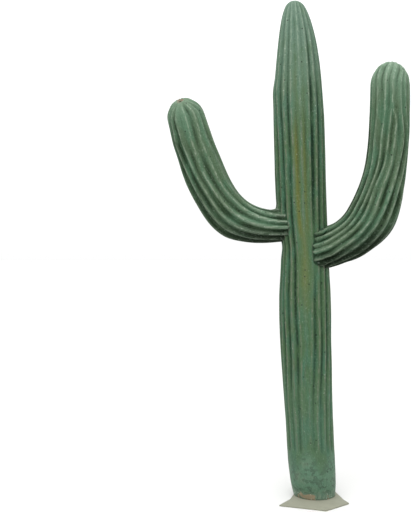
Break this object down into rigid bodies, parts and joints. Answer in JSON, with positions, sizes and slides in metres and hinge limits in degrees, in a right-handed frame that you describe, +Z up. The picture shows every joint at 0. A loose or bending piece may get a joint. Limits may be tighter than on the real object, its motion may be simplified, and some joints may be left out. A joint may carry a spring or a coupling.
{
  "type": "artificial saguaro cactus",
  "caption": "Tall moulded saguaro with a ribbed tapering trunk and an upturned ribbed arm on each side, standing on a thin grey plate.",
  "frame": {"origin": "on the plate's underside, below the middle of the trunk's foot", "axes": "+Z up along the trunk, -Y towards the front, -X towards the lower of the two arm tips"},
  "size_m": [1.4375, 0.458, 3],
  "materials": {
    "plate": "matt grey paint, worn",
    "trunk_skin": "hand-painted green over a moulded skin, dark in the grooves and greyed on the ridges",
    "arm_skin": "hand-painted green over a moulded skin, paler at the tips"
  },
  "bodies": {
    "root": {"base_plate": "plate", "trunk": "trunk_skin", "left_arm_lower": "arm_skin", "left_arm_upper": "arm_skin", "right_arm_lower": "arm_skin", "right_arm_upper": "arm_skin"}
  },
  "joints": []
}
